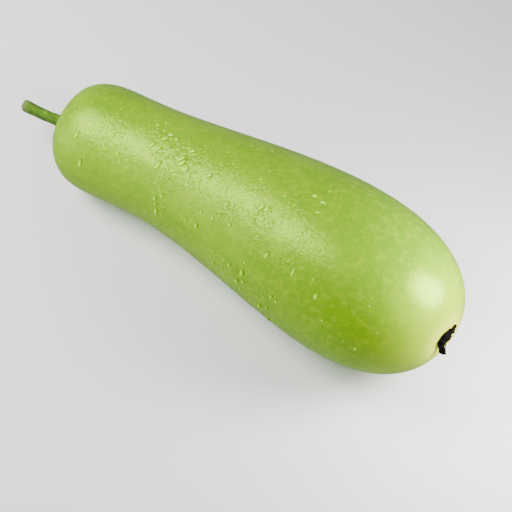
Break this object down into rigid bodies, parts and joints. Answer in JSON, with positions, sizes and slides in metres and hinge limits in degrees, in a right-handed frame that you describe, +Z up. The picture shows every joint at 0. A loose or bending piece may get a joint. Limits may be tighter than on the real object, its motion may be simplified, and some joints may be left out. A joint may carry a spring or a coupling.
{
  "type": "bottle gourd",
  "caption": "Young bottle gourd lying on its side: a club-shaped pale green fruit with a cut ribbed stem and the dark withered flower at its broad end.",
  "frame": {"origin": "on the surface that the gourd lies on, under the middle of its bounding box", "axes": "+Z up; +X along the gourd, from the cut stem to the withered flower; +Y to its side"},
  "size_m": [0.3294, 0.1042, 0.104],
  "materials": {
    "skin": "satin",
    "stalk": "satin",
    "dried_flower": "matte"
  },
  "bodies": {
    "root": {"fruit": "skin", "stem": "stalk", "dried_blossom": "dried_flower"}
  },
  "joints": []
}
